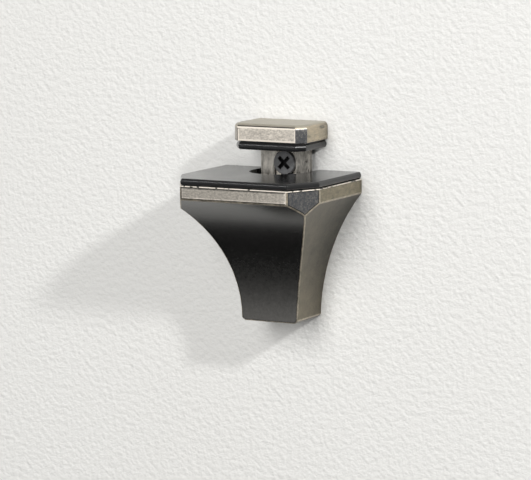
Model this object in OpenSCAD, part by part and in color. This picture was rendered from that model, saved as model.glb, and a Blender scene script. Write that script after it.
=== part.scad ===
// Adjustable clamp bracket for a shelf board.
// X runs along the wall, Y into the wall (the wall's face is Y = 0) and Z up.
// The origin is the wall screw's axis where it meets the wall.

/* [Setting] */
// Thickness of the board that the jaws are set to, between the two pads
shelf_gap = 8.5; // [5:0.5:24]

/* [Upper jaw] */
// Width of the cap along the wall
cap_w = 30.2; // [26:0.2:40]
// How far the cap stands out from the wall
cap_depth = 19.8; // [17:0.2:30]
// Height of the cap
cap_h = 6.5; // [5:0.1:9]
// Width that each corner facet takes off the cap's front
cap_corner_run = 3; // [1.5:0.1:4]
// Depth that each corner facet takes off the cap's sides
cap_corner_depth = 3.7; // [2:0.1:5]
// Radius of the cap's upper side edges
cap_side_r = 1.8; // [1:0.1:3]
// Radius of the cap's upper front edge and of its facets' upper edges
cap_front_r = 1.8; // [0.5:0.1:2]
// Width of the stem that runs down along the wall
stem_w = 20.2; // [18:0.2:22]
// Thickness of the stem's flange
stem_t = 2.2; // [1.8:0.1:3]
// Distance that the web behind holds the flange off the wall
web_t = 3.2; // [2.6:0.1:4]
// Width of the web
web_w = 14; // [12:0.5:15]
// Length of the stem below the cap
stem_len = 46.8; // [44:0.2:50]
// Height of the threaded lug at the stem's lower end
lug_h = 8; // [6:0.5:10]
// Radius of the lug around the adjusting screw
lug_r = 5.2; // [4.5:0.1:6]

/* [Lower jaw] */
// Width of the jaw at its top
jaw_w = 58; // [52:1:66]
// How far the jaw stands out from the wall
jaw_depth = 45; // [42:1:52]
// Height of the jaw casting
jaw_h = 52.5; // [50:0.5:60]
// Height of the upright band round its top
band_h = 5.2; // [3:0.1:7]
// Width that each corner facet takes off the jaw's front
corner_run = 7; // [5:0.5:9]
// Depth that each corner facet takes off the jaw's sides
corner_depth = 12.2; // [8:0.2:15]
// Width of the foot
foot_w = 23.2; // [20:0.2:30]
// Depth of the foot from the wall
foot_depth = 18.6; // [16:0.2:24]
// Height above the foot of the front cove's deepest line
front_cove_lift = 3.4; // [0:0.1:6]
// Depth below the foot of the side coves' deepest line
side_cove_drop = 1.7; // [0:0.1:4]
// Wall thickness of the casting
wall_t = 2.4; // [2:0.1:3]
// Thickness of its top deck
deck_t = 2.4; // [2:0.1:3]
// Thickness of the seat that the adjusting screw's head pulls against
seat_t = 3.5; // [3:0.1:5]
// Thickness of the guide ribs beside the stem
rib_t = 2.2; // [1.8:0.1:3]
// Thickness of the guide lips in front of the stem's flange
lip_t = 2.2; // [1.6:0.1:3]
// Depth below the deck at which the guide ribs begin
rib_drop = 5; // [3:0.5:8]
// Width of the opening in the jaw's top
mouth_w = 22.2; // [22:0.2:27]
// How far that opening reaches from the wall
mouth_depth = 20.8; // [17:0.2:24]

/* [Pads] */
// Thickness of the lower pad
pad_t = 2.6; // [2:0.1:3.5]
// Thickness of the upper pad's rounded plate
upper_pad_t = 2.6; // [2:0.1:3.5]
// Height of the narrower step that holds the upper pad off the cap
pad_step = 0.6; // [0.4:0.1:1.5]
// Distance that the step stands in from the pad's edge
step_inset = 0.8; // [0.5:0.1:1.2]
// Radius of the pads' rounded nose
nose_r = 1.6; // [1.2:0.1:2.4]
// Distance that the upper pad stands in from the cap's edges
upper_pad_inset = 0.5; // [0.1:0.1:0.8]
// Distance that the lower pad stands in from the casting's edges
lower_pad_inset = 0.2; // [0.1:0.1:0.6]

/* [Wall screw] */
// Diameter of the head
head_d = 8.6; // [7.6:0.1:8.8]
// Height of the head
head_h = 2.6; // [2:0.1:3]
// Depth to which the head is let into the stem
head_sink = 1.6; // [1:0.1:1.8]
// Diameter of the thread
wall_screw_d = 4.8; // [4:0.1:5]
// Length of the thread beyond the wall's face
wall_screw_reach = 38; // [34:1:60]
// Length of the thread's pointed end
tip_len = 6; // [4:0.5:8]
// Diameter of the point
tip_d = 0.4; // [0.2:0.1:0.8]
// Diameter of the plain neck under the head
neck_d = 4.2; // [3.4:0.1:4.6]
// Length of each bar of the cross recess
cross_len = 5.6; // [4:0.1:6]
// Width of each bar of the cross recess
cross_w = 1.3; // [0.8:0.1:1.6]
// Depth of the cross recess
cross_depth = 1.6; // [1:0.1:1.9]
// Distance from the clamp face down to the screw's axis
screw_drop = 5.8; // [5.2:0.1:8]
// Length that the screw can travel along the stem's slot
slot_travel = 16; // [8:1:20]
// Height of the slot's upper end above the screw's axis
slot_over = 0.5; // [0:0.1:1]

/* [Adjusting screw] */
// Diameter of the thread
adjust_d = 5; // [4:1:5]
// Length below the head
adjust_len = 40; // [36:1:42]
// Diameter of the head
adjust_head_d = 8.5; // [7:0.1:8.8]
// Height of the head
adjust_head_h = 5; // [4:0.5:6]
// Width across flats of the key socket
key_w = 4; // [3:1:4]
// Depth of the key socket
key_depth = 2.5; // [1.5:0.1:3]
// Room left above the head in its recess
recess_extra = 0.3; // [0.1:0.1:1]
// Distance of the screw's axis from the wall
adjust_y = 9.8; // [9.6:0.1:11]
// Outer diameter of the retaining clip
clip_d = 9.4; // [8.6:0.1:10]
// Thickness of the retaining clip
clip_t = 0.8; // [0.6:0.1:1]
// Depth of the clip's groove in the screw
groove_depth = 0.5; // [0.3:0.05:0.7]
// Width of the clip's open side
clip_open = 3.6; // [3:0.1:3.8]

/* [Clearances] */
// Gap between the stem and the guides in the casting
guide_gap = 0.3; // [0.2:0.05:0.5]
// Radial gap between the adjusting screw and the lug's thread
thread_gap = 0.05; // [0.02:0.01:0.1]
// Radial gap between the adjusting screw and the hole in its seat
hole_gap = 0.25; // [0.15:0.05:0.5]
// Gap round a screw's head in its recess
head_gap = 0.2; // [0.1:0.05:0.4]
// Gap between the upper pad and the stem
pad_gap = 0.1; // [0.05:0.05:0.3]
// Gap at the faces that turn against each other
face_gap = 0.05; // [0.02:0.01:0.1]

/* [Hidden] */
$fn = 96;

nickel = [0.55, 0.51, 0.45];
black_plastic = [0.06, 0.06, 0.065];
black_steel = [0.12, 0.12, 0.125];
zinc = [0.62, 0.62, 0.6];

// Heights, from the wall screw's axis
clamp_z = screw_drop;
cap_z = clamp_z + upper_pad_t + pad_step;
stem_z = cap_z - stem_len;
seat_z = clamp_z - shelf_gap;
jaw_z = seat_z - pad_t;
foot_z = jaw_z - jaw_h;

// Stem and its slot
flange_y = -web_t;
stem_y = -web_t - stem_t;
slot_shank_w = wall_screw_d + 2 * head_gap;
slot_head_w = head_d + 2 * head_gap;

// Adjusting screw: recess in the foot, seat above it, clip above the seat
recess_h = adjust_head_h + recess_extra;
recess_r = adjust_head_d / 2 + 2 * head_gap;
seat_low_z = foot_z + recess_h;
seat_top_z = seat_low_z + seat_t;
adjust_r = adjust_d / 2;
groove_r = adjust_r - groove_depth;
groove_z = seat_top_z + face_gap;

// Guide channel
channel_w = stem_w + 2 * guide_gap;
gate_w = web_w + 2 * guide_gap;
rib_top_z = jaw_z - deck_t - rib_drop;
lip_y = stem_y - guide_gap - lip_t;

// Overlap of joined solids, overshoot of cuts, and a size beyond the whole part
e = 0.01;
past = 1;
far = 400;

// Radius of an arc that runs out by run over a height of rise
function cove_r(run, rise) = (run * run + rise * rise) / (2 * run);
front_r = cove_r(jaw_depth - foot_depth, jaw_h - band_h - front_cove_lift);
side_r = cove_r((jaw_w - foot_w) / 2, jaw_h - band_h + side_cove_drop);

// Place on one corner facet: x runs along it, y = 0 is its face and +y goes inwards
module on_facet(w, depth, run, cut, inset) {
    translate([w / 2 - run, -depth, 0]) rotate([0, 0, atan2(cut, run)]) translate([0, inset, 0]) children();
}

// Outline seen from above: straight back on the wall, a facet at each front corner
module facet_outline(w, depth, run, cut) {
    polygon([
        [-w / 2, 0], [-w / 2, -depth + cut], [-w / 2 + run, -depth],
        [w / 2 - run, -depth], [w / 2, -depth + cut], [w / 2, 0]
    ]);
}

// The same outline, moved in by one distance at its front, facets and sides, and ending at back_y
module inner_outline(w, depth, run, cut, inset, back_y) {
    intersection() {
        translate([-w / 2 + inset, -depth + inset]) square([w - 2 * inset, depth - inset + back_y]);
        on_facet(w, depth, run, cut, inset) translate([-far / 2, 0]) square([far, far]);
        mirror([1, 0]) on_facet(w, depth, run, cut, inset) translate([-far / 2, 0]) square([far, far]);
    }
}

// All that lies behind a rounded nose whose foremost line is y = 0
module behind_nose(mid_z) {
    translate([0, nose_r, mid_z]) rotate([0, 90, 0]) cylinder(r = nose_r, h = far, center = true);
    translate([-far / 2, nose_r, mid_z - far / 2]) cube([far, far, far]);
}

// Plate with a rounded nose along its front, its facets and its sides
module nosed_plate(w, depth, run, cut, inset, t) {
    intersection() {
        translate([-w / 2, -depth, 0]) cube([w, depth, t]);
        translate([0, -depth + inset, 0]) behind_nose(t / 2);
        translate([w / 2 - inset, 0, 0]) rotate([0, 0, 90]) behind_nose(t / 2);
        translate([-w / 2 + inset, 0, 0]) rotate([0, 0, -90]) behind_nose(t / 2);
        on_facet(w, depth, run, cut, inset) behind_nose(t / 2);
        mirror([1, 0, 0]) on_facet(w, depth, run, cut, inset) behind_nose(t / 2);
    }
}

// Opening for the stem and its lug: straight sides from the wall, round front
module mouth_outline() {
    round_y = -mouth_depth + mouth_w / 2;
    translate([-mouth_w / 2, round_y]) square([mouth_w, -round_y + e]);
    intersection() {
        translate([0, round_y]) circle(r = mouth_w / 2);
        translate([-mouth_w / 2, -mouth_depth]) square([mouth_w, mouth_w / 2 + e]);
    }
}

// Upright slot for the wall screw, in the plane of the wall
module screw_slot(w, from_y, to_y) {
    low_z = slot_over - slot_travel;
    for (z = [low_z, slot_over])
        translate([0, from_y, z]) rotate([-90, 0, 0]) cylinder(d = w, h = to_y - from_y);
    translate([-w / 2, from_y, low_z]) cube([w, to_y - from_y, slot_travel]);
}

// Section of the stem: flange in front, narrower web to the wall
module stem_section() {
    translate([-stem_w / 2, stem_y]) square([stem_w, stem_t]);
    translate([-web_w / 2, flange_y - e]) square([web_w, web_t + e]);
}

// All that lies behind a face at y = 0 and under a top at z = h, with the edge between them rounded
module behind_face(h, r) {
    translate([-far / 2, 0, -past]) cube([far, far, h - r + past]);
    translate([-far / 2, r, -past]) cube([far, far, h + past]);
    translate([0, r, h - r]) rotate([0, 90, 0]) cylinder(r = r, h = far, center = true);
}

// Block with a facet at each front corner and a rounded edge all round its top but at the wall
module cap_block() {
    intersection() {
        translate([-cap_w / 2, -cap_depth, 0]) cube([cap_w, cap_depth, cap_h]);
        translate([0, -cap_depth, 0]) behind_face(cap_h, cap_front_r);
        translate([cap_w / 2, 0, 0]) rotate([0, 0, 90]) behind_face(cap_h, cap_side_r);
        translate([-cap_w / 2, 0, 0]) rotate([0, 0, -90]) behind_face(cap_h, cap_side_r);
        on_facet(cap_w, cap_depth, cap_corner_run, cap_corner_depth, 0) behind_face(cap_h, cap_front_r);
        mirror([1, 0, 0]) on_facet(cap_w, cap_depth, cap_corner_run, cap_corner_depth, 0)
            behind_face(cap_h, cap_front_r);
    }
}

// Die-cast cap and stem in one, with the threaded lug at the stem's lower end
module upper_jaw() color(nickel) {
    translate([0, 0, cap_z]) cap_block();
    difference() {
        union() {
            translate([0, 0, stem_z]) linear_extrude(stem_len + e) stem_section();
            translate([0, -adjust_y, stem_z]) cylinder(r = lug_r, h = lug_h);
            translate([-lug_r, -adjust_y, stem_z]) cube([2 * lug_r, adjust_y + stem_y + e, lug_h]);
        }
        screw_slot(slot_shank_w, stem_y - e, e);
        screw_slot(slot_head_w, stem_y - e, stem_y + head_sink);
        translate([0, -adjust_y, stem_z - e]) cylinder(r = adjust_r + thread_gap, h = lug_h + 2 * e);
    }
}

// Soft pad under the cap, with a notch for the stem
module upper_pad() color(black_plastic) difference() {
    union() {
        translate([0, 0, clamp_z])
            nosed_plate(cap_w, cap_depth, cap_corner_run, cap_corner_depth, upper_pad_inset, upper_pad_t);
        translate([0, 0, cap_z - pad_step - e]) linear_extrude(pad_step + e)
            inner_outline(cap_w, cap_depth, cap_corner_run, cap_corner_depth, upper_pad_inset + step_inset, 0);
    }
    translate([-stem_w / 2 - pad_gap, stem_y - pad_gap, clamp_z - e])
        cube([stem_w + 2 * pad_gap, far, cap_z - clamp_z + 2 * e]);
}

// Screw with a flat round head and a cross recess, through the slot into the wall
module wall_screw() color(black_steel) {
    under_head_y = stem_y + head_sink;
    face_y = under_head_y - head_h;
    thread_len = wall_screw_reach - tip_len;
    difference() {
        translate([0, face_y, 0]) rotate([-90, 0, 0]) cylinder(d = head_d, h = head_h);
        for (turn = [45, -45])
            translate([0, face_y - e, 0]) rotate([0, turn, 0]) translate([-cross_len / 2, 0, -cross_w / 2])
                cube([cross_len, cross_depth + e, cross_w]);
    }
    translate([0, under_head_y - e, 0]) rotate([-90, 0, 0]) cylinder(d = neck_d, h = -under_head_y + 2 * e);
    rotate([-90, 0, 0]) cylinder(d = wall_screw_d, h = thread_len);
    translate([0, thread_len - e, 0]) rotate([-90, 0, 0])
        cylinder(d1 = wall_screw_d, d2 = tip_d, h = tip_len + e);
}

// Room inside the casting, open to the wall, before the ribs are put back
module jaw_room() {
    difference() {
        translate([0, 0, seat_top_z]) linear_extrude(jaw_z - deck_t - seat_top_z)
            inner_outline(jaw_w, jaw_depth, corner_run, corner_depth, wall_t, past);
        coves(wall_t);
    }
}

// Concave front and sides below the band, each one round cut; grow moves their faces inwards
module coves(grow) {
    translate([0, -foot_depth - front_r, foot_z + front_cove_lift]) rotate([0, 90, 0])
        cylinder(r = front_r + grow, h = 2 * jaw_w, center = true, $fn = 240);
    for (side = [-1, 1])
        translate([side * (foot_w / 2 + side_r), 0, foot_z - side_cove_drop]) rotate([90, 0, 0])
            cylinder(r = side_r + grow, h = 3 * jaw_depth, center = true, $fn = 240);
}

// Ribs that guide the stem, with lips before and behind its flange
module guides() {
    h = rib_top_z - seat_top_z;
    outer_w = channel_w + 2 * rib_t;
    difference() {
        translate([-outer_w / 2, lip_y, seat_top_z - past]) cube([outer_w, -lip_y, h + past]);
        translate([-channel_w / 2, stem_y - guide_gap, seat_top_z - 2 * past])
            cube([channel_w, stem_t + 2 * guide_gap, h + 3 * past]);
        translate([-gate_w / 2, lip_y - past, seat_top_z - 2 * past])
            cube([gate_w, -lip_y + 2 * past, h + 3 * past]);
    }
}

// Hollow die casting: band, corner facets, coves, foot; open to the wall
module lower_jaw() color(nickel) difference() {
    translate([0, 0, foot_z]) linear_extrude(jaw_h)
        facet_outline(jaw_w, jaw_depth, corner_run, corner_depth);
    coves(0);
    difference() {
        jaw_room();
        guides();
    }
    translate([0, 0, jaw_z - deck_t - e]) linear_extrude(deck_t + 2 * e) mouth_outline();
    translate([0, -adjust_y, foot_z - e]) cylinder(r = recess_r, h = recess_h + e);
    translate([0, -adjust_y, foot_z]) cylinder(r = adjust_r + hole_gap, h = recess_h + seat_t + e);
}

// Soft pad on the lower jaw, open to the wall where the stem passes
module lower_pad() color(black_plastic) difference() {
    translate([0, 0, jaw_z]) nosed_plate(jaw_w, jaw_depth, corner_run, corner_depth, lower_pad_inset, pad_t);
    translate([0, 0, jaw_z - e]) linear_extrude(pad_t + 2 * e) mouth_outline();
}

// Screw whose head pulls the foot towards the stem's lug
module adjusting_screw() color(zinc) {
    head_top_z = seat_low_z - face_gap;
    difference() {
        union() {
            translate([0, -adjust_y, head_top_z - adjust_head_h])
                cylinder(d = adjust_head_d, h = adjust_head_h);
            translate([0, -adjust_y, head_top_z - e]) cylinder(r = adjust_r, h = adjust_len + e);
        }
        translate([0, -adjust_y, head_top_z - adjust_head_h - e])
            cylinder(d = key_w / cos(30), h = key_depth + e, $fn = 6);
        translate([0, -adjust_y, groove_z]) difference() {
            cylinder(r = adjust_r + past, h = clip_t + face_gap);
            translate([0, 0, -past]) cylinder(r = groove_r, h = clip_t + 3 * past);
        }
    }
}

// Spring clip in the screw's groove, open on one side
module retaining_clip() color(black_steel) translate([0, -adjust_y, groove_z]) difference() {
    cylinder(d = clip_d, h = clip_t);
    translate([0, 0, -past]) cylinder(r = groove_r, h = clip_t + 2 * past);
    translate([-clip_open / 2, -clip_d, -past]) cube([clip_open, clip_d, clip_t + 2 * past]);
}

upper_jaw();
upper_pad();
wall_screw();
lower_jaw();
lower_pad();
adjusting_screw();
retaining_clip();
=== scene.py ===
import math

import bmesh
import bpy
from mathutils import Matrix, Vector


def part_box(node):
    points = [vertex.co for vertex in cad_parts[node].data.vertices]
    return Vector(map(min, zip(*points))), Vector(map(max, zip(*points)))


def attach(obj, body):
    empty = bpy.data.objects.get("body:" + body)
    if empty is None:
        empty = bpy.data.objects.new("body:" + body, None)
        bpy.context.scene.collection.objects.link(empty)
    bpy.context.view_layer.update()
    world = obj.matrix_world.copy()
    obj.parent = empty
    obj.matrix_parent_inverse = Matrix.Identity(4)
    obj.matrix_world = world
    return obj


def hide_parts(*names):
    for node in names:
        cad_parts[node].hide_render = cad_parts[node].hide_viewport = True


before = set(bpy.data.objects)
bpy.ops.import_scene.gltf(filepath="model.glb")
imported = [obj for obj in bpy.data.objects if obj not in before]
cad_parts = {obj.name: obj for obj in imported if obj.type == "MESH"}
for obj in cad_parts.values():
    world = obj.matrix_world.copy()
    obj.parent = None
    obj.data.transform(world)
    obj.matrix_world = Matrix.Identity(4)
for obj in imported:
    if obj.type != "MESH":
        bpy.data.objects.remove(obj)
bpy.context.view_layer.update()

# ---------------------------------------------------------------------------
# Upper jaw: cap and stem are one zinc die casting, plated in black nickel and
# rubbed bright again on its front, its stem and its edges. The web behind the
# stem's flange lies on the wall and the wall screw holds it there.
# ---------------------------------------------------------------------------
MM = 0.001
WELD = 0.002 * MM  # corners closer than this are one corner
NEAR = 0.1 * MM  # edges and faces closer than this to a plane lie on it


def only(obj):
    """Leaves obj alone selected and active."""
    bpy.ops.object.select_all(action="DESELECT")
    obj.select_set(True)
    bpy.context.view_layer.objects.active = obj


def piece_from(node, name):
    """A new piece with the node's shape, its loose triangles joined into whole faces."""
    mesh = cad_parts[node].data.copy()
    mesh.name = name
    mesh.materials.clear()
    piece = bpy.data.objects.new(name, mesh)
    bpy.context.scene.collection.objects.link(piece)
    only(piece)
    bpy.ops.object.mode_set(mode="EDIT")
    bpy.ops.mesh.select_all(action="SELECT")
    bpy.ops.mesh.remove_doubles(threshold=WELD)
    bpy.ops.mesh.dissolve_limited(angle_limit=math.radians(0.4))
    bpy.ops.object.mode_set(mode="OBJECT")
    return piece


def slot_number(piece, finish):
    """Which of the piece's material slots holds the finish."""
    return piece.data.materials.find(finish.name)


def give_finishes(piece, finishes, finish_of):
    """Puts the finishes in the piece's slots and gives each face the one that finish_of(face) names."""
    for finish in finishes:
        piece.data.materials.append(finish)
    for face in piece.data.polygons:
        face.material_index = slot_number(piece, finish_of(face))


def round_edges(piece, width, steps=3, sharper_than=24, edge_finish=None, choose=None):
    """Rounds the piece's sharp outer edges, those that choose(middle, mean normal) allows."""
    only(piece)
    bpy.ops.object.mode_set(mode="EDIT")
    bpy.ops.mesh.select_mode(type="EDGE")
    bpy.ops.mesh.select_all(action="DESELECT")
    mesh = bmesh.from_edit_mesh(piece.data)
    picked = []
    for edge in mesh.edges:
        if len(edge.link_faces) != 2 or not edge.is_convex:
            continue
        if edge.calc_face_angle(0) < math.radians(sharper_than):
            continue
        middle = (edge.verts[0].co + edge.verts[1].co) / 2
        outward = (edge.link_faces[0].normal + edge.link_faces[1].normal).normalized()
        if choose is None or choose(middle, outward):
            picked.append(edge)
    for edge in picked:
        edge.select_set(True)
    bmesh.update_edit_mesh(piece.data)
    bpy.ops.mesh.bevel(
        offset=width, segments=steps, profile=0.5, clamp_overlap=True, miter_outer="ARC",
        material=-1 if edge_finish is None else slot_number(piece, edge_finish),
    )
    bpy.ops.object.mode_set(mode="OBJECT")


def frame_face(piece, width, pick, finish_of):
    """Insets each face that pick(face) takes; a strip of its rim gets finish_of(strip, face centre)."""
    only(piece)
    chosen = [face.center.copy() for face in piece.data.polygons if pick(face)]
    for centre in chosen:
        bpy.ops.object.mode_set(mode="EDIT")
        bpy.ops.mesh.select_mode(type="FACE")
        bpy.ops.mesh.select_all(action="DESELECT")
        mesh = bmesh.from_edit_mesh(piece.data)
        nearest = min(mesh.faces, key=lambda face: (face.calc_center_median() - centre).length)
        nearest.select_set(True)
        bmesh.update_edit_mesh(piece.data)
        # corners rounded finer than the rim are merged, so that the rim does not fold over there
        bpy.ops.mesh.remove_doubles(threshold=15 * WELD)
        before = len(bmesh.from_edit_mesh(piece.data).faces)
        bpy.ops.mesh.inset(thickness=width, depth=0, use_even_offset=True)
        mesh = bmesh.from_edit_mesh(piece.data)
        mesh.faces.ensure_lookup_table()
        for strip in mesh.faces[before:]:
            strip.material_index = slot_number(piece, finish_of(strip.calc_center_median(), centre))
        bmesh.update_edit_mesh(piece.data)
        bpy.ops.object.mode_set(mode="OBJECT")


def finish_shading(piece, angle=30):
    """Smooth rounds beside flat faces that stay flat, with no slivers left over."""
    only(piece)
    bpy.ops.object.mode_set(mode="EDIT")
    bpy.ops.mesh.select_all(action="SELECT")
    bpy.ops.mesh.dissolve_degenerate(threshold=WELD)
    bpy.ops.object.mode_set(mode="OBJECT")
    bpy.ops.object.shade_smooth_by_angle(angle=math.radians(angle))
    weighted = piece.modifiers.new("weighted", "WEIGHTED_NORMAL")
    weighted.keep_sharp = True
    weighted.weight = 100
    bpy.ops.object.modifier_apply(modifier=weighted.name)


def node_adder(tree):
    """A way to add nodes to the tree, each with its settings and what goes into its inputs."""
    def add(kind, inputs=(), **settings):
        node = tree.nodes.new(kind)
        for key, value in settings.items():
            setattr(node, key, value)
        for key, value in dict(inputs).items():
            if isinstance(value, bpy.types.NodeSocket):
                tree.links.new(value, node.inputs[key])
            else:
                node.inputs[key].default_value = value
        return node
    return add


def new_material(name):
    """An empty node material with its Principled shader, and a way to add nodes."""
    material = bpy.data.materials.new(name)
    material.use_nodes = True
    tree = material.node_tree
    shader = next(n for n in tree.nodes if n.type == "BSDF_PRINCIPLED")
    return material, tree, shader, node_adder(tree)


def ramp(add, value, low, high, dark=0.0, light=1.0, shape="LINEAR"):
    """Maps value from low..high to dark..light, held at both ends."""
    ends = {"Value": value, 1: low, 2: high, 3: dark, 4: light}
    return add("ShaderNodeMapRange", ends, interpolation_type=shape).outputs[0]


def maths(add, operation, a, b=0.0, c=0.0):
    return add("ShaderNodeMath", {0: a, 1: b, 2: c}, operation=operation).outputs[0]


def noise(add, place, scale, detail, roughness=0.5):
    inputs = {"Vector": place, "Scale": scale, "Detail": detail, "Roughness": roughness}
    return add("ShaderNodeTexNoise", inputs).outputs[0]


def relief(add, height, strength, depth):
    """A fine relief of that depth for a shader's Normal."""
    return add("ShaderNodeBump", {"Height": height, "Strength": strength, "Distance": depth}).outputs[0]


def mix_colour(add, share, a, b):
    return add("ShaderNodeMix", {0: share, 6: a, 7: b}, data_type="RGBA").outputs[2]


BARE_NICKEL = (0.86, 0.79, 0.69)
BLACK_NICKEL = (0.150, 0.146, 0.132)


def nickel(
    name, rubbed, tint=(1, 1, 1), plate=BLACK_NICKEL, stretch=(1, 1, 1), mottle=0.5, streak=0.0,
    sparkle=0.0, more=(), halo=0.0, border=1.0, rest=1.0, rough=(0.30, 0.5),
    grain_scale=1500.0, cloud_scale=260.0,
):
    """Black nickel plate rubbed back to bare metal.

    rubbed is how far, 0 in the coves and 1 on an edge. mottle, streak and sparkle break it up,
    and each of more adds a gain that grows along an axis from start to end. border is how bare the
    edges are worn, rest how much dark plate is left beside them, and halo how far wear spreads.
    """
    material, tree, shader, add = new_material(name)
    place = add("ShaderNodeTexCoord").outputs["Object"]
    grain_place = add("ShaderNodeMapping", {"Vector": place, "Scale": stretch}).outputs[0]
    grain = noise(add, grain_place, grain_scale, 3.0, 0.65)
    cloud = noise(add, grain_place, cloud_scale, 4.0, 0.6)
    amount = maths(add, "MULTIPLY_ADD", maths(add, "SUBTRACT", grain, 0.5), mottle, rubbed)
    amount = maths(add, "MULTIPLY_ADD", maths(add, "SUBTRACT", cloud, 0.5), mottle, amount)
    if sparkle:
        specks = ramp(add, noise(add, place, 2600.0, 1.0), 0.56, 0.72)
        amount = maths(add, "MULTIPLY_ADD", specks, sparkle, amount)
    if streak:
        streaks = ramp(add, noise(add, grain_place, 420.0, 2.0), 0.56, 0.70)
        amount = maths(add, "MULTIPLY_ADD", streaks, -streak, amount)
    for axis, start, end, gain in more:
        along = add("ShaderNodeSeparateXYZ", {0: place}).outputs[axis]
        amount = maths(add, "ADD", amount, ramp(add, along, start, end, 0.0, gain))
    # wear that runs in from each edge, and the dark rest of the plate that is left inside it
    normal = add("ShaderNodeNewGeometry").outputs["Normal"]
    blotch = noise(add, place, 700.0, 3.0, 0.6)
    reach = []
    for radius, near, far in ((0.5 * MM, 0.995, 0.93), (1.2 * MM, 0.995, 0.95)):
        turned = add("ShaderNodeBevel", {"Radius": radius}, samples=8).outputs[0]
        turn = add("ShaderNodeVectorMath", {0: normal, 1: turned}, operation="DOT_PRODUCT")
        reach.append(ramp(add, turn.outputs["Value"], near, far))
    at_edge, near_edge = reach
    if halo:
        amount = maths(add, "MULTIPLY_ADD", near_edge, halo, amount)
    inside_edge = maths(add, "SUBTRACT", near_edge, at_edge)
    left = maths(add, "MULTIPLY", inside_edge, ramp(add, blotch, 0.35, 0.65, 0.05, 0.4 * rest))
    amount = maths(add, "SUBTRACT", amount, left)
    worn = maths(add, "MULTIPLY", at_edge, ramp(add, blotch, 0.30, 0.48, 0.3 * border, border))
    amount = add("ShaderNodeClamp", {0: maths(add, "MAXIMUM", amount, worn)}).outputs[0]
    bare = tuple(c * t for c, t in zip(BARE_NICKEL, tint)) + (1,)
    tree.links.new(mix_colour(add, amount, plate + (1,), bare), shader.inputs["Base Color"])
    tree.links.new(ramp(add, amount, 0.0, 1.0, 1.0, 0.25), shader.inputs["Metallic"])
    tree.links.new(ramp(add, amount, 0.0, 1.0, *rough), shader.inputs["Roughness"])
    tree.links.new(relief(add, grain, 0.2, 0.02 * MM), shader.inputs["Normal"])
    return material


cap_front_nickel = nickel(
    "nickel_cap_front", 0.81, stretch=(0.6, 1, 1), mottle=1.0, border=0.6, rest=0.8,
    grain_scale=2400.0, cloud_scale=1300.0,
)
cap_border_nickel = nickel(
    "nickel_cap_border", 1.15, tint=(1.12, 1.12, 1.12), mottle=0.5, border=1.0, rest=0.0,
)
cap_top_nickel = nickel(
    "nickel_cap_top", 0.45, tint=(1, 0.99, 0.92), stretch=(0.5, 1, 1), mottle=0.2, border=0.0, rest=0.3,
)
# the cap's sides are painted darker towards the wall: painted shade
cap_side_nickel = nickel(
    "nickel_cap_side", 0.54, tint=(1, 0.92, 0.75), stretch=(1, 0.3, 1.4), mottle=0.6, streak=0.35,
    more=(("Y", -9 * MM, -0.5 * MM, -0.30),), border=0.3, cloud_scale=500.0,
)
facet_nickel = nickel(
    "nickel_facet", 0.02, plate=(0.128, 0.133, 0.141), mottle=0.5, sparkle=0.20,
    more=(("Z", 11.5 * MM, 14 * MM, 0.09),), border=0.0, rest=0.2, cloud_scale=900.0,
)
# the left facets, seen almost edge on, are made lighter: a painted reflection of the pale wall
painted_reflection_facet_nickel = nickel("nickel_facet_painted_reflection", 0.50, mottle=0.5, border=0.3)
# the stem is painted darker towards its lower end, where it goes into the lower jaw, and towards its
# right: painted shade
stem_nickel = nickel(
    "nickel_stem", 0.82, tint=(0.96, 0.99, 1.02), stretch=(1, 1, 0.35), mottle=1.2,
    more=(("Z", -0.5 * MM, -4.4 * MM, -0.22), ("X", -4 * MM, 6 * MM, -0.28)),
    rough=(0.22, 0.42), cloud_scale=500.0,
)
stem_side_nickel = nickel("nickel_stem_side", 0.28, stretch=(1, 1, 0.2), mottle=0.3, border=0.5)
# near-black plate used as painted shade: on the stem's web behind its flange, in thin dark lines along
# edges, and on the lower part of the cap front's top round
painted_shade_nickel = nickel("nickel_painted_shade", 0.0, plate=(0.05, 0.049, 0.045), mottle=0.03, border=0.1)
edge_nickel = nickel("nickel_bare_edge", 0.95, mottle=0.6)

cap_front_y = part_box("upper_jaw")[0].y
cap_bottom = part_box("upper_pad")[1].z
flange_front = -5.4 * MM
flange_side = 9 * MM
edge_round = 0.25 * MM
back_round = 1.6 * MM
cap_rim_width = 0.45 * MM


def upper_jaw_finish(face):
    """The finish of a face by its place and the way it looks."""
    n, c = face.normal, face.center
    if c.z < cap_bottom + NEAR:
        if c.y < flange_front + NEAR:
            return stem_nickel
        # the stem's web behind its flange is painted near black: painted shade
        return stem_side_nickel if abs(n.x) > 0.9 and abs(c.x) > flange_side else painted_shade_nickel
    if abs(n.x) > 0.6 and n.y < -0.35 and abs(n.z) < 0.3:
        # the left facet gets the painted reflection of the pale wall
        return facet_nickel if c.x > 0 else painted_reflection_facet_nickel
    if n.y < -0.999:
        return cap_front_nickel
    if n.y < -0.93:
        return cap_border_nickel
    # the lower part of the front's top round is painted dark: a painted reflection
    if n.y < -0.84 and abs(n.x) < 0.3:
        return painted_shade_nickel
    return cap_side_nickel if abs(n.x) > 0.7 else cap_top_nickel


def on_front_line(middle, outward):
    """The front's lower and left edges, which get a thin line of painted shade."""
    on_front = middle.y < cap_front_y + NEAR
    left_of_facet = middle.x < 8 * MM
    return on_front and left_of_facet and outward.z < 0.05


def on_cap_or_flange(middle, outward):
    on_cap = middle.z > cap_bottom - NEAR
    return middle.y < -NEAR and (on_cap or middle.y < flange_front + NEAR)


def is_cap_front(face):
    on_front = face.normal.y < -0.99 and face.center.z > cap_bottom
    whole = face.area > 60 * MM**2
    return on_front and whole and face.material_index == slot_number(upper_jaw, cap_front_nickel)


def cap_rim(strip, centre):
    """The front's rim is rubbed bright, but for its top strip."""
    at_top = strip.z > centre.z + 1.5 * MM
    return cap_front_nickel if at_top else cap_border_nickel


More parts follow.
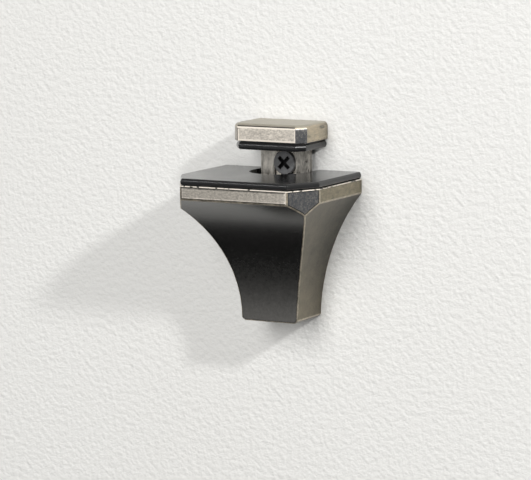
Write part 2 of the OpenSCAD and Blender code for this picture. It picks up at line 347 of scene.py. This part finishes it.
upper_jaw = piece_from("upper_jaw", "upper_jaw_casting")
upper_jaw_finishes = (
    cap_front_nickel, cap_top_nickel, cap_side_nickel, facet_nickel, stem_nickel,
    stem_side_nickel, painted_shade_nickel, edge_nickel, cap_border_nickel, painted_reflection_facet_nickel,
)
give_finishes(upper_jaw, upper_jaw_finishes, upper_jaw_finish)
round_edges(upper_jaw, edge_round, 2, sharper_than=4, edge_finish=painted_shade_nickel, choose=on_front_line)
round_edges(upper_jaw, edge_round, edge_finish=edge_nickel, choose=on_cap_or_flange)
round_edges(
    upper_jaw, back_round, 6,
    choose=lambda middle, outward: middle.y > -NEAR and abs(middle.z - cap_bottom) < NEAR,
)
# the line along the front's lower edge is made bright again: a painted highlight
for face in upper_jaw.data.polygons:
    dark = face.material_index == slot_number(upper_jaw, painted_shade_nickel)
    if dark and face.center.z < cap_bottom + edge_round and face.normal.y < -0.93:
        face.material_index = slot_number(upper_jaw, cap_border_nickel)
frame_face(upper_jaw, cap_rim_width, is_cap_front, cap_rim)
finish_shading(upper_jaw)
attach(upper_jaw, "upper_jaw")
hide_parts("upper_jaw")

# ---------------------------------------------------------------------------
# Upper pad: soft black plastic under the cap, moulded with a round nose and a
# narrower step. It is pressed onto the casting, round the stem.
# ---------------------------------------------------------------------------


def black_plastic(name, roughness):
    """Glossy soft plastic with faint handling marks."""
    material, tree, shader, add = new_material(name)
    place = add("ShaderNodeTexCoord").outputs["Object"]
    smudge = noise(add, place, 90.0, 4.0, 0.6)
    fine = noise(add, place, 900.0, 2.0)
    black = mix_colour(add, smudge, (0.013, 0.013, 0.0135, 1), (0.019, 0.019, 0.0195, 1))
    tree.links.new(black, shader.inputs["Base Color"])
    dull = ramp(add, smudge, 0.3, 0.7, roughness, roughness + 0.05)
    tree.links.new(dull, shader.inputs["Roughness"])
    tree.links.new(relief(add, fine, 0.05, 0.02 * MM), shader.inputs["Normal"])
    return material


gloss_black = black_plastic("pad_gloss_black", 0.14)
pad_round = 0.12 * MM

upper_pad = piece_from("upper_pad", "upper_pad_moulding")
round_edges(upper_pad, pad_round, 2)
finish_shading(upper_pad)
upper_pad.data.materials.append(gloss_black)
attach(upper_pad, "upper_jaw")
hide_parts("upper_pad")

# ---------------------------------------------------------------------------
# Wall screw: turned steel, phosphated black, with a flat round head, a cross
# recess and a coarse rolled thread. It goes through the stem's slot into the
# wall and clamps the upper jaw there.
# ---------------------------------------------------------------------------


def satin_steel(name, low, high, metallic, rough):
    """Steel with a fine grain, its colour and roughness a little uneven."""
    material, tree, shader, add = new_material(name)
    place = add("ShaderNodeTexCoord").outputs["Object"]
    grain = noise(add, place, 1200.0, 3.0)
    colour = mix_colour(add, ramp(add, grain, 0.3, 0.7), low, high)
    tree.links.new(colour, shader.inputs["Base Color"])
    tree.links.new(ramp(add, grain, 0.3, 0.7, rough, rough + 0.1), shader.inputs["Roughness"])
    shader.inputs["Metallic"].default_value = metallic
    tree.links.new(relief(add, grain, 0.15, 0.02 * MM), shader.inputs["Normal"])
    return material


neck = 0.6 * MM


def draw_in(screw, origin, along, start, end, ratio):
    """Draws the screw's plain shank in to its core by ratio, from start to end, past a short neck."""
    only(screw)
    bpy.ops.object.mode_set(mode="EDIT")
    bpy.ops.mesh.select_mode(type="VERT")
    for cut in (start - neck, start):
        bpy.ops.mesh.select_all(action="SELECT")
        bpy.ops.mesh.bisect(plane_co=origin + along * cut, plane_no=along)
    bpy.ops.mesh.select_all(action="DESELECT")
    mesh = bmesh.from_edit_mesh(screw.data)
    for vertex in mesh.verts:
        reached = (vertex.co - origin).dot(along)
        vertex.select_set(start - NEAR < reached < end + NEAR)
    mesh.select_flush(True)
    bmesh.update_edit_mesh(screw.data)
    bpy.ops.transform.resize(value=[1 if a else ratio for a in along], center_override=origin)
    bpy.ops.object.mode_set(mode="OBJECT")


def add_thread(screw, origin, tilt, crest, root, pitch, turns, steps=20):
    """Winds a three-sided ridge round the core, lets its ends run out and joins it to the screw."""
    # its section is a triangle with its flat on the root and its tip at the crest
    height = crest - root
    quarter = math.radians(90)
    bpy.ops.object.select_all(action="DESELECT")
    bpy.ops.mesh.primitive_circle_add(
        vertices=3, radius=height / 1.5, location=(root + height / 3, 0, 0),
        rotation=(quarter, quarter, 0),
    )
    ridge = bpy.context.object
    bpy.ops.object.transform_apply(location=True, rotation=True, scale=True)
    winding = ridge.modifiers.new("winding", "SCREW")
    winding.axis = "Z"
    winding.screw_offset = pitch
    winding.iterations = turns
    winding.steps = winding.render_steps = steps
    bpy.ops.object.modifier_apply(modifier=winding.name)
    bpy.ops.object.mode_set(mode="EDIT")
    bpy.ops.mesh.select_mode(type="VERT")
    bpy.ops.mesh.select_all(action="DESELECT")
    bpy.ops.mesh.select_non_manifold()
    bpy.ops.mesh.fill_holes(sides=3)
    bpy.ops.transform.resize(value=(root / crest, root / crest, 1), center_override=(0, 0, 0))
    bpy.ops.mesh.select_all(action="SELECT")
    bpy.ops.mesh.normals_make_consistent(inside=False)
    bpy.ops.object.mode_set(mode="OBJECT")
    ridge.rotation_euler.x = tilt
    ridge.location = origin
    bpy.ops.object.transform_apply(location=True, rotation=True, scale=True)
    screw.select_set(True)
    bpy.context.view_layer.objects.active = screw
    bpy.ops.object.join()


head_front = -6.4 * MM
head_back = -3.8 * MM
head_round = 0.15 * MM
recess_floor = -4.8 * MM
recess_reach = 3.6 * MM  # no part of the cross lies farther out
beside_arm = 1.0 * MM  # the long sides of an arm lie closer than this to its middle


def narrow_cross(screw, ratio):
    """Draws the arms of the head's cross recess in, so that they are narrower and keep their length."""
    only(screw)
    bpy.ops.object.mode_set(mode="EDIT")
    bpy.ops.mesh.select_mode(type="VERT")
    eighth = math.radians(45)
    bpy.ops.mesh.select_all(action="SELECT")
    bpy.ops.transform.rotate(value=eighth, orient_axis="Y", center_override=(0, 0, 0))
    for axis, value in ((2, (1, 1, ratio)), (0, (ratio, 1, 1))):
        bpy.ops.mesh.select_all(action="DESELECT")
        mesh = bmesh.from_edit_mesh(screw.data)
        for vertex in mesh.verts:
            co = vertex.co
            in_recess = co.y < recess_floor + NEAR and math.hypot(co.x, co.z) < recess_reach
            vertex.select_set(in_recess and abs(co[axis]) < beside_arm)
        mesh.select_flush(True)
        bmesh.update_edit_mesh(screw.data)
        bpy.ops.transform.resize(value=value, center_override=(0, 0, 0))
    bpy.ops.mesh.select_all(action="SELECT")
    bpy.ops.transform.rotate(value=-eighth, orient_axis="Y", center_override=(0, 0, 0))
    bpy.ops.object.mode_set(mode="OBJECT")


def wall_screw_finish(face):
    """Near black inside the cross recess, painted shade; satin black all over else."""
    c = face.center
    below_front = head_front + 0.02 * MM < c.y < head_back - NEAR
    in_recess = below_front and math.hypot(c.x, c.z) < recess_reach
    return recess_painted_shade if in_recess else black_steel


black_steel = satin_steel(
    "screw_black_phosphate", (0.120, 0.121, 0.122, 1), (0.165, 0.166, 0.168, 1), 0.0, 0.5,
)
# painted shade: the cross recess is coloured near black
recess_painted_shade = satin_steel(
    "screw_recess_painted_shade", (0.008, 0.008, 0.008, 1), (0.014, 0.014, 0.014, 1), 0.0, 0.7,
)
into_wall = Vector((0, 1, 0))
wall_thread_start = 2.4 * MM
wall_thread_end = 32 * MM

wall_screw = piece_from("wall_screw", "wall_screw_turned")
draw_in(wall_screw, Vector((0, 0, 0)), into_wall, wall_thread_start + neck, wall_thread_end, 0.68)
add_thread(
    wall_screw, into_wall * wall_thread_start, math.radians(-90),
    crest=2.4 * MM, root=1.5 * MM, pitch=2.1 * MM, turns=14,
)
narrow_cross(wall_screw, 0.93)
round_edges(wall_screw, head_round, 2, choose=lambda middle, outward: middle.y < head_back - NEAR)
finish_shading(wall_screw)
give_finishes(wall_screw, (black_steel, recess_painted_shade), wall_screw_finish)
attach(wall_screw, "upper_jaw")
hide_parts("wall_screw")

# ---------------------------------------------------------------------------
# Lower jaw: a hollow zinc die casting, open to the wall, in black nickel. Its
# band is rubbed bright and its coves keep the dark plate. Two ribs inside
# guide it on the stem, and the adjusting screw in its foot draws it up.
# ---------------------------------------------------------------------------
jaw_lo, jaw_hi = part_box("lower_jaw")
band_low = jaw_hi.z - 5.2 * MM
foot_chamfer = 1.0 * MM
casting_round = 0.45 * MM
top_round = 0.35 * MM
band_line_width = 0.28 * MM
band_rim_width = 0.40 * MM
facet_line_width = 0.3 * MM
band_end = 20 * MM  # only the strips at the band's two ends lie farther from its middle

# the coves grow lighter towards the foot, and their sides darker towards the wall: the latter is painted
# shade
foot_lightening = ("Z", jaw_lo.z + 29 * MM, jaw_lo.z, 0.205)
cove_side_lightening = ("Z", jaw_lo.z + 26 * MM, jaw_lo.z, 0.11)
near_wall_painted_shade = ("Y", 0.0, jaw_lo.y * 0.5, 0.07)
band_nickel = nickel(
    "nickel_band", 0.56, stretch=(0.6, 1, 1), mottle=0.9, more=(("X", 4 * MM, 20 * MM, 0.06),),
    border=0.4, rest=1.0, grain_scale=2400.0, cloud_scale=1400.0,
)
band_top_nickel = nickel(
    "nickel_band_top", 1.3, tint=(1.12, 1.12, 1.12), stretch=(1.7, 1, 1), mottle=0.6, streak=2.6,
    border=0.0, rest=0.0,
)
band_shade_nickel = nickel(
    "nickel_band_shade", 0.30, stretch=(0.6, 1, 1), mottle=0.9, border=0.0, rest=0.0, cloud_scale=700.0,
)
band_border_nickel = nickel(
    "nickel_band_border", 0.75, mottle=0.9, border=0.0, rest=0.0, cloud_scale=900.0,
)
band_side_nickel = nickel(
    "nickel_band_side", 0.15, tint=(1, 0.93, 0.72), plate=(0.120, 0.110, 0.082), stretch=(1, 0.5, 1),
    mottle=0.4, border=0.4, cloud_scale=500.0,
)
cove_nickel = nickel(
    "nickel_cove", -0.005, tint=(0.96, 1.0, 1.06), plate=(0.130, 0.130, 0.128), mottle=0.13,
    more=(foot_lightening,), border=0.3, rough=(0.26, 0.5), cloud_scale=700.0,
)
cove_side_nickel = nickel(
    "nickel_cove_side", 0.0, tint=(1, 0.93, 0.76), plate=(0.078, 0.073, 0.058), mottle=0.14,
    more=(cove_side_lightening, near_wall_painted_shade), halo=0.15, border=0.4,
)
inside_nickel = nickel(
    "nickel_inside", 0.03, plate=(0.100, 0.098, 0.092), mottle=0.12, border=0.3,
)
jaw_edge_nickel = nickel(
    "nickel_jaw_edge", 0.42, tint=(1, 0.94, 0.82), mottle=0.9, cloud_scale=500.0,
)


def looks_out(piece, place, outward):
    """True where the piece itself does not close off the view from a place on it."""
    past_piece = 60 * MM
    return not piece.ray_cast(place + outward * NEAR / 2, outward, distance=past_piece)[0]


def lower_jaw_finish(face):
    """The finish of a face by its place and the way it looks."""
    n, c = face.normal, face.center
    if not looks_out(lower_jaw, c, n):
        return inside_nickel
    if abs(n.x) > 0.6 and n.y < -0.35:
        # the left facet gets the painted reflection of the pale wall
        return facet_nickel if c.x > 0 else painted_reflection_facet_nickel
    if c.z > band_low and n.y < -0.9:
        return band_nickel
    if c.z > band_low and abs(n.x) > 0.9:
        return band_side_nickel
    if n.y < -0.4:
        return cove_nickel
    return cove_side_nickel if abs(n.x) > 0.4 else inside_nickel


def on_foot_side_or_back(middle, outward):
    on_foot = middle.z < jaw_lo.z + NEAR and outward.z < -0.5
    at_side = abs(middle.x) > 10 * MM
    at_wall = middle.y > -NEAR
    return on_foot and (at_side or at_wall)


def on_outside(middle, outward):
    off_wall = middle.y < -1.0 * MM
    return off_wall and middle.z < jaw_hi.z - NEAR and looks_out(lower_jaw, middle, outward)


def on_top(middle, outward):
    off_wall = middle.y < -NEAR
    return off_wall and middle.z > jaw_hi.z - NEAR and looks_out(lower_jaw, middle, outward)


def is_band_front(face):
    whole = face.area > 80 * MM**2
    return whole and face.material_index == slot_number(lower_jaw, band_nickel)


def is_right_facet(face):
    whole = face.area > 20 * MM**2
    return whole and face.material_index == slot_number(lower_jaw, facet_nickel)


def band_line(strip, centre):
    """A thin line of painted shade round the band's front, but bright where it meets the right facet."""
    return cap_border_nickel if strip.x > centre.x + band_end else painted_shade_nickel


def band_rim(strip, centre):
    """Inside that line: shaded above, rubbed brighter below and at the right."""
    if abs(strip.x - centre.x) > band_end:
        return band_nickel if strip.x < centre.x else band_border_nickel
    return band_shade_nickel if strip.z > centre.z else band_border_nickel


lower_jaw = piece_from("lower_jaw", "lower_jaw_casting")
lower_jaw_finishes = (
    band_nickel, band_side_nickel, facet_nickel, cove_nickel, cove_side_nickel, painted_shade_nickel,
    jaw_edge_nickel, band_top_nickel, painted_reflection_facet_nickel, band_shade_nickel, cap_border_nickel,
    band_border_nickel, inside_nickel,
)
give_finishes(lower_jaw, lower_jaw_finishes, lower_jaw_finish)
round_edges(lower_jaw, foot_chamfer, 1, choose=on_foot_side_or_back)
round_edges(lower_jaw, casting_round, edge_finish=jaw_edge_nickel, choose=on_outside)
round_edges(lower_jaw, top_round, edge_finish=band_top_nickel, choose=on_top)
frame_face(lower_jaw, band_line_width, is_band_front, band_line)
frame_face(lower_jaw, band_rim_width, is_band_front, band_rim)
# a thin line of painted shade round the right facet
frame_face(lower_jaw, facet_line_width, is_right_facet, lambda strip, centre: painted_shade_nickel)
finish_shading(lower_jaw)
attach(lower_jaw, "lower_jaw")
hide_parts("lower_jaw")

# ---------------------------------------------------------------------------
# Lower pad: a plate of the same soft black plastic with a round nose, pressed
# onto the top of the lower jaw and open round the stem.
# ---------------------------------------------------------------------------
lower_pad = piece_from("lower_pad", "lower_pad_moulding")
round_edges(lower_pad, pad_round, 2)
finish_shading(lower_pad)
lower_pad.data.materials.append(gloss_black)
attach(lower_pad, "lower_jaw")
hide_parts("lower_pad")

# ---------------------------------------------------------------------------
# Adjusting screw: turned steel, zinc plated, M5 with a hexagon socket in its
# head. It turns in the foot of the lower jaw and pulls on the lug at the lower
# end of the stem, into which its thread runs.
# ---------------------------------------------------------------------------
zinc_steel = satin_steel(
    "screw_zinc_plate", (0.42, 0.42, 0.41, 1), (0.58, 0.58, 0.57, 1), 1.0, 0.35,
)
screw_low, screw_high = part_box("adjusting_screw")
screw_axis = Vector((0, (screw_low.y + screw_high.y) / 2, screw_low.z))
screw_length = screw_high.z - screw_low.z
up_screw = Vector((0, 0, 1))
clip_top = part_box("retaining_clip")[1].z - screw_low.z
thread_start = clip_top + 1.2 * MM
core_start = clip_top + 1.6 * MM
thread_pitch = 0.8 * MM


def on_screw_end(middle, outward):
    return middle.z > screw_high.z - NEAR or middle.z < screw_low.z + NEAR


adjusting_screw = piece_from("adjusting_screw", "adjusting_screw_turned")
round_edges(adjusting_screw, 0.3 * MM, 2, choose=on_screw_end)
draw_in(adjusting_screw, screw_axis, up_screw, core_start, screw_length, 0.82)
add_thread(
    adjusting_screw, screw_axis + up_screw * thread_start, 0.0,
    crest=2.5 * MM, root=1.9 * MM, pitch=thread_pitch,
    turns=int((screw_length - thread_start - 0.6 * MM) / thread_pitch), steps=16,
)
finish_shading(adjusting_screw)
adjusting_screw.data.materials.append(zinc_steel)
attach(adjusting_screw, "adjusting_screw")
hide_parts("adjusting_screw")

# ---------------------------------------------------------------------------
# Retaining clip: an open ring stamped from spring steel, snapped into the
# screw's groove above its seat, so that the screw cannot drop out of the foot.
# ---------------------------------------------------------------------------
spring_steel = satin_steel(
    "clip_spring_steel", (0.05, 0.05, 0.055, 1), (0.09, 0.09, 0.095, 1), 1.0, 0.35,
)
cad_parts["retaining_clip"].data.materials.clear()
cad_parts["retaining_clip"].data.materials.append(spring_steel)

# ---------------------------------------------------------------------------
# Stage: a plain pale wall, seen only from its front and in the metal, that
# sends no light back to the bracket; soft light from the upper right and a
# broad fill.
# ---------------------------------------------------------------------------
wall_size, wall_foot = 0.56, -0.19
bpy.ops.object.select_all(action="DESELECT")
bpy.ops.mesh.primitive_plane_add(
    size=wall_size, location=(0, 0.03 * MM, wall_foot + wall_size / 2),
    rotation=(math.radians(90), 0, 0),
)
wall = bpy.context.object
wall.name = "backdrop"
plaster, tree, shader, add = new_material("backdrop_plaster")
wall_place = add("ShaderNodeTexCoord").outputs["Object"]
trowelled = noise(add, wall_place, 480.0, 5.0, 0.55)
patches = noise(add, wall_place, 6.0, 1.0)
off_white = mix_colour(add, patches, (0.80, 0.79, 0.76, 1), (0.84, 0.835, 0.81, 1))
tree.links.new(off_white, shader.inputs["Base Color"])
shader.inputs["Roughness"].default_value = 0.9
shader.inputs["Specular IOR Level"].default_value = 0.1
tree.links.new(relief(add, trowelled, 1.0, 0.7 * MM), shader.inputs["Normal"])
# clear from behind, and to what has already gone through something clear
clear = add("ShaderNodeBsdfTransparent")
from_behind = add("ShaderNodeNewGeometry").outputs["Backfacing"]
passed = add("ShaderNodeLightPath").outputs["Transparent Depth"]
see_through = maths(add, "MAXIMUM", from_behind, maths(add, "GREATER_THAN", passed, 0.5))
plaster_or_clear = add("ShaderNodeMixShader", {0: see_through, 1: shader.outputs[0], 2: clear.outputs[0]})
output = next(n for n in tree.nodes if n.type == "OUTPUT_MATERIAL")
tree.links.new(plaster_or_clear.outputs[0], output.inputs["Surface"])
wall.data.materials.append(plaster)
wall.visible_shadow = False
wall.visible_diffuse = False
wall.visible_transmission = False

# the room: what the metal mirrors is brighter towards the wall and to the right
world = bpy.data.worlds.new("studio")
bpy.context.scene.world = world
world.use_nodes = True
background = next(n for n in world.node_tree.nodes if n.type == "BACKGROUND")
add = node_adder(world.node_tree)
direction = add("ShaderNodeTexCoord").outputs["Generated"]
look = add("ShaderNodeSeparateXYZ", {0: direction}).outputs
steep = maths(add, "ABSOLUTE", look["Z"])
level_light = ramp(add, look["X"], 0.0, 0.9, 0.25, 0.42)
steep_light = ramp(add, look["Z"], -0.1, 0.1, 0.05, 0.28)
room = ramp(add, steep, 0.1, 0.6, level_light, steep_light, shape="SMOOTHSTEP")
towards_wall = ramp(add, look["Y"], -0.02, 0.68, shape="SMOOTHSTEP")
mirrored = ramp(add, towards_wall, 0.0, 1.0, room, 0.93)
rays = add("ShaderNodeLightPath").outputs
on_object = ramp(add, rays["Is Glossy Ray"], 0.0, 1.0, 0.07, mirrored)
strength = ramp(add, rays["Is Camera Ray"], 0.0, 1.0, on_object, 0.88)
background.inputs["Color"].default_value = (1.0, 0.99, 0.97, 1)
world.node_tree.links.new(strength, background.inputs["Strength"])


def soft_light(name, towards, distance, width, height, power):
    """A soft light that faces the bracket, on the line that its light travels along."""
    data = bpy.data.lights.new(name, "AREA")
    data.shape = "RECTANGLE"
    data.size = width
    data.size_y = height
    data.energy = power
    light = bpy.data.objects.new(name, data)
    light.location = -Vector(towards).normalized() * distance
    light.rotation_mode = "QUATERNION"
    light.rotation_quaternion = Vector(towards).to_track_quat("-Z", "Y")
    bpy.context.scene.collection.objects.link(light)
    return light


def power_for(brightness, distance):
    """Power that gives a white surface, square on, that brightness at that distance."""
    return brightness * math.pi**2 * distance**2


soft_light("key", (-82, 45, -48), 1.4, 0.10, 0.10, power_for(0.50, 1.4))
fill = soft_light("fill", (0.04, 0.95, -0.29), 1.8, 0.9, 1.7, power_for(0.96, 1.8))
fill.visible_glossy = False
rear = soft_light("rear", (0.1, -1, -0.35), 2.0, 1.2, 1.2, power_for(0.45, 2.0))
rear.visible_glossy = False
# these two are only mirrored: a thin line of shine, and a window at the right
strip = soft_light("strip", (0.44, 0.80, -0.39), 1.5, 0.30, 0.06, 1.20)
strip.visible_diffuse = False
window = soft_light("window", (-0.90, 0.25, -0.36), 1.5, 0.25, 0.6, 5.0)
window.visible_diffuse = False

# camera: 29 degrees to the right of square on, 8 degrees up, with a long lens
azimuth, elevation, roll = math.radians(28.882), math.radians(7.967), math.radians(-0.593)
camera_distance = 1.16677
aim_height = -0.0053
aside, above = -0.009883, -0.024102
flat = math.cos(elevation)
back = Vector((math.sin(azimuth) * flat, -math.cos(azimuth) * flat, math.sin(elevation)))
level_right = (-back).cross(Vector((0, 0, 1))).normalized()
level_up = level_right.cross(-back)
right = math.cos(roll) * level_right + math.sin(roll) * level_up
up = -math.sin(roll) * level_right + math.cos(roll) * level_up
stand = right * aside + up * above + back * camera_distance + Vector((0, 0, aim_height))
camera_data = bpy.data.cameras.new("camera")
camera_data.lens = 212.92
camera_data.sensor_width = 36.0
camera_data.clip_start = 0.05
camera_data.clip_end = 50
camera = bpy.data.objects.new("camera", camera_data)
camera.matrix_world = Matrix((
    (right.x, up.x, back.x, stand.x),
    (right.y, up.y, back.y, stand.y),
    (right.z, up.z, back.z, stand.z),
    (0, 0, 0, 1),
))
bpy.context.scene.collection.objects.link(camera)
bpy.context.scene.camera = camera
bpy.context.scene.view_settings.view_transform = "Standard"
